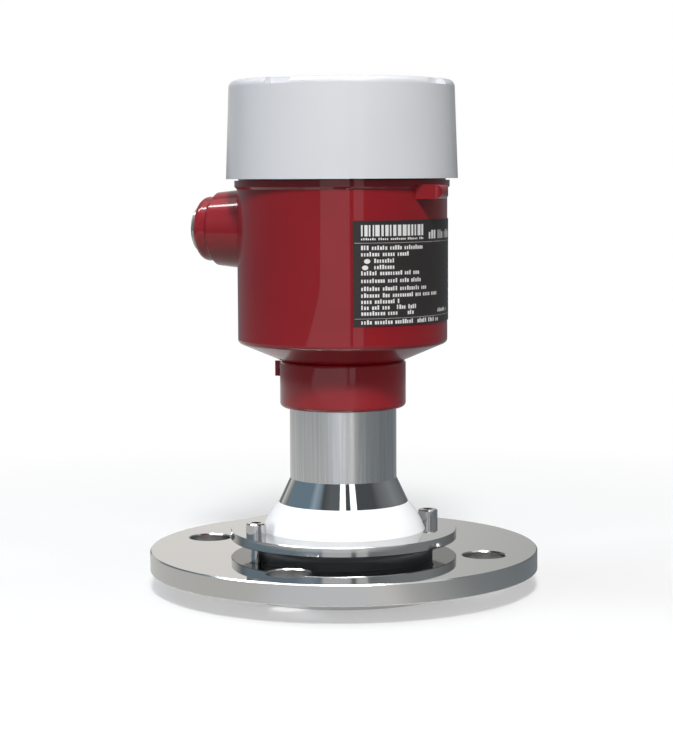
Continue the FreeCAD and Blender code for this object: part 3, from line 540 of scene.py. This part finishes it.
def carried(sections):
    """Closed solid of a profile carried along a path: an array of sections, each the same number of
    points, joined one to the next, with a flat cap at each end and the faces turned outwards."""
    count, around = sections.shape[:2]
    points = sections.reshape(-1, 3)
    here = np.arange(around)
    after = (here + 1) % around
    ring = np.stack([here, after, after + around, here + around], axis=1)
    sides = (ring[None] + around * np.arange(count - 1)[:, None, None]).reshape(-1, 4)
    corner = points[sides] - points.mean(axis=0)
    first = np.einsum("ij,ij->i", corner[:, 0], np.cross(corner[:, 1], corner[:, 2]))
    second = np.einsum("ij,ij->i", corner[:, 0], np.cross(corner[:, 2], corner[:, 3]))
    caps = [here[::-1].tolist(), (here + around * (count - 1)).tolist()]
    faces = sides.tolist() + caps
    if (first + second).sum() < 0:
        faces = [face[::-1] for face in faces]
    return points, faces


def piece(name, solids, body, material, smooth=False):
    """Object of several closed solids that rides on a body and takes its finish from a slot."""
    points = []
    faces = []
    start = 0
    for solid_points, solid_faces in solids:
        points.append(solid_points)
        faces += [[start + corner for corner in face] for face in solid_faces]
        start += len(solid_points)
    mesh = bpy.data.meshes.new(name)
    mesh.from_pydata(np.concatenate(points).tolist(), [], faces)
    mesh.materials.append(material)
    if smooth:
        mesh.shade_smooth()
        mesh.set_sharp_from_angle(angle=math.radians(SHARP_EDGE))
    made = bpy.data.objects.new(name, mesh)
    bpy.context.scene.collection.objects.link(made)
    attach(made, body)


# The label's printing, in millimetres: along the arc from the label's left edge, and heights. Each row of
# small blocks stands where a plate has its data, and says nothing
LABEL_R = 44.6
LABEL_START = -64.0
LABEL_ARC = 99.6
INK_UP = 0.02
INK_UNDER = 0.03
ARC_STEP = 2.0
HEADER_RULE = 147.7
FOOTER_RULE = 117.3
RULE_W = 0.1
RULE_INSET = 0.6
# Rows of data as (height, start, end), and the height and width of their blocks
DATA_ROWS = (
    (145.6, 3.3, 34.0), (143.05, 3.3, 25.4), (140.4, 8.7, 18.2), (137.85, 8.7, 19.5), (135.45, 3.3, 30.3),
    (132.4, 3.3, 31.8), (129.2, 3.3, 35.6), (126.5, 3.3, 44.0), (124.0, 3.3, 20.2), (121.6, 3.3, 16.0),
    (121.6, 18.7, 29.7), (119.3, 3.3, 20.8), (119.3, 24.0, 27.8), (119.3, 43.5, 54.0),
    (115.7, 3.3, 27.1), (115.7, 29.3, 44.7), (126.5, 60.5, 84.0), (124.0, 60.5, 78.0), (121.6, 60.5, 88.0),
)
DATA_TALL = 1.35
DATA_WIDE = 1.0
# Spots as (arc, height)
DATA_DOTS = ((5.8, 140.4), (4.95, 137.85))
DOT_HALF_W = 1.3
DOT_HALF_H = 0.95
DOT_POINTS = 28
# Fields as (start, end, low, high), and the small row under the bars
BAR_FIELD = (3.3, 33.6, 150.4, 154.9)
NAME_FIELD = (36.5, 60.0, 148.9, 151.6)
NAME_WIDE = 1.6
TABLE_FIELD = (60.5, 95.0, 130.5, 145.5)
TABLE_SHELVES = (0.25, 0.5, 0.75)
TABLE_POST = 0.4
SMALL_ROW_UP = 149.2
SMALL_ROW_TALL = 0.7
SMALL_ROW_WIDE = 0.8
# How the blocks and bars vary: so many blocks to a group, the share of tall ones and their height, how
# much of its place a block fills, and the widths and gaps of the bars
GROUP_SIZES = (3, 10)
TALL_SHARE = 0.25
TALL_RISE = 1.3
BLOCK_FILL = (0.6, 0.9)
BLOCK_PITCH = 1.15
BAR_WIDTHS = (0.5, 1.9)
BAR_GAPS = (0.45, 0.95)
LEAST_BAR = 0.4
PRINT_SEED = 11


def bent_block(start, end, low, high):
    """Slab of ink on the label: a rectangle in the (radius, height) plane carried along the arc."""
    steps = max(2, int((end - start) / ARC_STEP) + 1)
    angle = math.radians(LABEL_START) + np.linspace(start, end, steps) / LABEL_R
    inner = LABEL_R - INK_UNDER
    outer = LABEL_R + INK_UP
    radius = np.array([inner, outer, outer, inner])
    height = np.array([low, low, high, high])
    x = np.cos(angle)[:, None] * radius
    y = np.sin(angle)[:, None] * radius
    z = np.broadcast_to(height, x.shape)
    return carried(np.stack([x, y, z], axis=2) * MM)


def bent_dot(arc, height):
    """Oval spot of ink: an ellipse laid on the label's curve, carried outwards by the ink's thickness."""
    turn = np.linspace(0, 2 * np.pi, DOT_POINTS, endpoint=False)
    angle = math.radians(LABEL_START) + (arc + DOT_HALF_W * np.cos(turn)) / LABEL_R
    z = height + DOT_HALF_H * np.sin(turn)
    sections = []
    for radius in (LABEL_R - INK_UNDER, LABEL_R + INK_UP):
        sections.append(np.stack([radius * np.cos(angle), radius * np.sin(angle), z], axis=1))
    return carried(np.array(sections) * MM)


def block_row(draw, height, start, end, tall, wide):
    """Row of upright blocks in groups of three to nine, as tall as small print or a little taller."""
    blocks = []
    at = start
    low = height - tall / 2
    left = int(draw.integers(*GROUP_SIZES))
    while at + wide <= end:
        rise = tall * (TALL_RISE if draw.random() < TALL_SHARE else 1.0)
        blocks.append(bent_block(at, at + wide * draw.uniform(*BLOCK_FILL), low, low + rise))
        at += wide * BLOCK_PITCH
        left -= 1
        if left == 0:
            at += wide
            left = int(draw.integers(*GROUP_SIZES))
    return blocks


def bar_field(draw, start, end, low, high):
    """Plain bars of mixed widths side by side."""
    bars = []
    at = start
    while at < end - LEAST_BAR:
        wide = min(draw.uniform(*BAR_WIDTHS), end - at)
        bars.append(bent_block(at, at + wide, low, high))
        at += wide + draw.uniform(*BAR_GAPS)
    return bars


def frame_lines(start, end, low, high):
    """Empty table: four thin sides, shelves across at shares of its height, and a post."""
    post = start + (end - start) * TABLE_POST
    lines = [bent_block(start, end, level - RULE_W, level + RULE_W) for level in (low, high)]
    lines += [bent_block(at - RULE_W, at + RULE_W, low, high) for at in (start, end, post)]
    for share in TABLE_SHELVES:
        level = low + (high - low) * share
        lines.append(bent_block(start, end, level - RULE_W / 2, level + RULE_W / 2))
    return lines


def label_print(ink):
    """White printing on the label's dark foil: rules, rows of blocks, two spots, a bar field and a table."""
    draw = np.random.default_rng(PRINT_SEED)
    solids = []
    for level in (HEADER_RULE, FOOTER_RULE):
        low, high = level - RULE_W / 2, level + RULE_W / 2
        solids.append(bent_block(RULE_INSET, LABEL_ARC - RULE_INSET, low, high))
    solids += bar_field(draw, *BAR_FIELD)
    start, end, low, high = NAME_FIELD
    solids += block_row(draw, (low + high) / 2, start, end, high - low, NAME_WIDE)
    start, end = BAR_FIELD[:2]
    solids += block_row(draw, SMALL_ROW_UP, start, end, SMALL_ROW_TALL, SMALL_ROW_WIDE)
    for height, start, end in DATA_ROWS:
        solids += block_row(draw, height, start, end, DATA_TALL, DATA_WIDE)
    solids += [bent_dot(*spot) for spot in DATA_DOTS]
    solids += frame_lines(*TABLE_FIELD)
    piece("label_print", solids, "head", ink)


# The thread between the cover and the housing's mouth, in millimetres, and its run-out in degrees. Each
# ridge as (root radius, crest radius, lowest and highest middle), sunk a little into its wall
THREAD_PITCH = 3.0
CREST_W = 0.6
FLANK_DEG = 30.0
MOUTH_RIDGE = (42.4, 43.6, 179.4, 184.6)
COVER_RIDGE = (43.9, 42.7, 178.9, 185.2)
SUNK = 0.08
RUN_OUT = 30.0
FIRST_RISE = 0.04
STEPS_A_TURN = 96


def thread(root_r, crest_r, low, high, phase):
    """Right-hand thread: a trapezium, wide at the root and sunk a little into the wall, carried along a
    helix whose height grows by the pitch each turn. The ridge rises from almost nothing and dies away
    over the first and last degrees of the run-out."""
    turns = (high - low) / THREAD_PITCH
    count = int(turns * STEPS_A_TURN) + 1
    along = np.linspace(0, 1, count)
    angle = phase + along * turns * 2 * np.pi
    middle = low + along * (high - low)
    ends = np.minimum(along, 1 - along) * turns * 360 / RUN_OUT
    rise = FIRST_RISE + (1 - FIRST_RISE) * np.clip(ends, 0, 1)
    slope = math.tan(math.radians(FLANK_DEG))
    sunk_r = root_r - math.copysign(SUNK, crest_r - root_r)
    top_r = root_r + (crest_r - root_r) * rise
    half_root = CREST_W / 2 + (abs(crest_r - root_r) + SUNK) * slope
    half_top = half_root - abs(top_r - sunk_r) * slope
    radius = np.stack([np.full(count, sunk_r), top_r, top_r, np.full(count, sunk_r)], axis=1)
    offset = np.stack([-np.full(count, half_root), -half_top, half_top, np.full(count, half_root)], axis=1)
    x = radius * np.cos(angle)[:, None]
    y = radius * np.sin(angle)[:, None]
    z = middle[:, None] + offset
    return carried(np.stack([x, y, z], axis=2) * MM)


def threads(bare):
    """Outer thread on the mouth and inner thread in the cover. The cover's ridge lies 1 mm above the
    mouth's, a third of the pitch, so their facing flanks overlap by about 0.12 mm along the axis."""
    piece("mouth_thread", [thread(*MOUTH_RIDGE, 0.0)], "head", bare, smooth=True)
    inner = [thread(*COVER_RIDGE, math.pi)]
    piece("cover_thread", inner, "screw_cover", bare, smooth=True)


# Scales printed on the cases of the address dials, in millimetres: ten steps round each dial
DIAL_X = 14.0
DIAL_YS = (-14.0, 0.0, 14.0)
DIAL_STEPS = 10
STEP_FROM_R = 3.6
STEP_TO_R = 4.3
FIRST_STEP_TO_R = 4.8
STEP_W = 0.3


def scale_step(centre_y, number, top):
    """Short printed bar: a rectangle across the radius, carried outwards along it from beside the dial.
    The first bar of a scale is longer."""
    outer = STEP_TO_R if number else FIRST_STEP_TO_R
    angle = 2 * np.pi * number / DIAL_STEPS
    out = np.array([math.cos(angle), math.sin(angle), 0.0])
    across = np.array([-math.sin(angle), math.cos(angle), 0.0]) * STEP_W / 2
    low = np.array([DIAL_X, centre_y, top - INK_UNDER])
    high = np.array([DIAL_X, centre_y, top + INK_UP])
    section = np.stack([low - across, low + across, high + across, high - across])
    return carried(np.stack([section + out * STEP_FROM_R, section + out * outer]) * MM)


def dial_scales(ink):
    """Ten steps round each address dial, on top of its case."""
    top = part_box("dial_cases")[1][2] / MM
    steps = [scale_step(centre_y, number, top) for centre_y in DIAL_YS for number in range(DIAL_STEPS)]
    piece("dial_scales", steps, "head", ink)


# Finishes on the nodes


def dress(nodes, material):
    """Give CAD nodes a material in their objects' own slots."""
    for name in nodes:
        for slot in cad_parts[name].material_slots:
            slot.link = "OBJECT"
            slot.material = material


def metals():
    """The metals left bare."""
    # A fine facing cut: the top mirrors the ball and the neck, and the turned edge shows soft bands
    flange = turned_steel("faced_and_turned_stainless", "#c5c5c4", flat_rough=0.03, side_rough=0.22)
    dress(["process_flange"], flange)
    # The same cut on a thin ring whose edge is faced too, so that it shines as a narrow bright line
    ring = turned_steel("faced_stainless_ring", "#c3c4c4", flat_rough=0.04, side_rough=0.1)
    dress(["clamp_ring"], ring)
    dress(["neck_tube"], brushed_tube_steel())
    # A mirror polish: dark and light bands of the room, with hard borders
    cone = steel("polished_stainless_cone", "#c9caca", rough=0.04, groove_mm=0.3, depth_mm=0.001)
    dress(["neck_cone"], cone)
    # Screws and small rings as they are bought: bright, with a slightly blurred glint
    screw = steel("polished_stainless_screw", "#c2c2c2", rough=0.07, groove_mm=0.5, depth_mm=0.002)
    dress(["clamp_screws", "earth_screw", "earth_washer", "cover_lock_screw", "housing_lock_screw"], screw)
    dress(["insert_screws", "terminal_screws", "inner_earth_screw", "snap_ring", "stop_pin"], screw)
    # Turned and left so: an even, dull sheen
    horn = turned_steel("turned_stainless_horn", "#b0afab", flat_rough=0.18, side_rough=0.18)
    dress(["antenna_horn", "horn_nut", "waveguide"], horn)
    # Tin on sheet steel, stamped or drawn to a can: soft and a little milky
    clamp = steel("stamped_tinned_steel", "#b8b6ae", rough=0.3, groove_mm=0.6, depth_mm=0.004)
    dress(["inner_earth_clamp"], clamp)
    can = steel("tinned_steel_can", "#b4b6b6", rough=0.28, groove_mm=0.7, depth_mm=0.005)
    dress(["radar_module"], can)
    # Nickel on turned brass: shiny, with a warm grey tone
    plug = steel("nickel_plated_brass", "#b9b7af", rough=0.12, groove_mm=0.4, depth_mm=0.003)
    dress(["blanking_plug"], plug)


def coats_and_plastics():
    """The powder coats, plastics, rubbers and the label's foil."""
    # Deep red under a clear, hard gloss that shows the lit boards as sharp pale lines
    red = powder_coat(
        "red_powder_coat", "#961a24", thin=0.9, rough=0.3, gloss=0.08, peel_mm=1.4, depth_mm=0.002,
        coat=0.8, coat_rough=0.025,
    )
    dress(["housing"], red)
    # Cool light grey, satin under a thin clear skin: broad soft lights with a faint glint on them
    grey = powder_coat(
        "light_grey_powder_coat", "#e7e8ec", thin=0.98, rough=0.42, gloss=0.3, peel_mm=1.2, depth_mm=0.002,
        coat=0.6, coat_rough=0.06,
    )
    dress(["cover"], grey)
    # Waxy white that light enters a little, so that its shading is soft
    white = moulded_plastic("turned_white_ptfe", "#f2f3f5", 0.35, grain_mm=0.6, depth_mm=0.003, milky=0.15)
    dress(["swivel_ball", "antenna_lens"], white)
    # Moulded rubber: black and almost without gloss
    rubber = moulded_plastic("black_epdm_rubber", "#2c2d2f", 0.62, grain_mm=0.35, depth_mm=0.02)
    dress(["lens_ring", "neck_rings", "plug_seal", "cover_ring"], rubber)
    # The same black rubber, its colour painted a dull mid grey: painted light that lifts the seal out of the
    # shade of its gap under the clamp ring
    seal = moulded_plastic("black_epdm_seal_painted_lighter", "#6c6e71", 0.5, grain_mm=0.5, depth_mm=0.05)
    dress(["ball_seal"], seal)
    # Smooth anodised foil: dark brown-grey with an even satin shine
    foil = moulded_plastic("anodised_label_foil", "#302b2b", 0.36, grain_mm=0.3, depth_mm=0.002)
    dress(["type_label"], foil)
    # Plain technical plastics of the inside: matte black, dark grey, blue and ivory
    black = moulded_plastic("black_moulded_abs", "#2a2b2e", 0.5, grain_mm=0.5, depth_mm=0.01)
    dress(["electronics_insert"], black)
    terminal = moulded_plastic("grey_polyamide", "#4d5358", 0.48, grain_mm=0.5, depth_mm=0.008)
    dress(["terminal_block"], terminal)
    dress(["dial_cases"], moulded_plastic("blue_polyester", "#274a78", 0.4, grain_mm=0.4, depth_mm=0.004))
    ivory = moulded_plastic("ivory_acetal", "#dcd8cc", 0.4)
    dress(["address_dial_1", "address_dial_2", "address_dial_3"], ivory)


# The aims of the lamps, and the tint of light from a window
BODY = (0, 0, 0.12)
BALL = (0, 0, 0.03)
WINDOW_TINT = (0.7, 0.86, 1.0)

bpy.context.scene.view_settings.view_transform = "Standard"
photo_camera()
studio_world()
studio_floor()
overhead_light(level=0.1, spread=40.0, beam=(0.02, 0.03, -1.0))
lamp("front_lamp", level=0.74, size=0.35, place=(0.511, -1.364, 1.577), aim=BODY)
lamp("side_window", level=0.14, size=0.7, place=(-1.1, -0.42, 1.6), aim=BODY, tint=WINDOW_TINT)
snoot("ball_lamp_left", level=0.4, size=0.1, place=(-0.75, -0.85, 0.35), aim=BALL, radius=0.05)
snoot("ball_lamp_right", level=0.45, size=0.1, place=(1.05, -0.35, 0.35), aim=BALL, radius=0.05)
studio_walls()
glowing_boards("white_board", FLOOR_BOARDS + WALL_BOARDS, BOARD_LEVEL)
glowing_boards("strip_light", STRIP_LIGHTS, STRIP_LEVEL)
glowing_boards("ceiling_strip", CEILING_STRIPS, CEILING_LEVEL)
metals()
coats_and_plastics()
label_ink = screen_ink()
label_print(label_ink)
dial_scales(label_ink)
# Machined casting left bare: a grey, fine-grooved sheen under the cover
threads(steel("machined_aluminium", "#b4b5b6", rough=0.3, groove_mm=0.5, depth_mm=0.004))
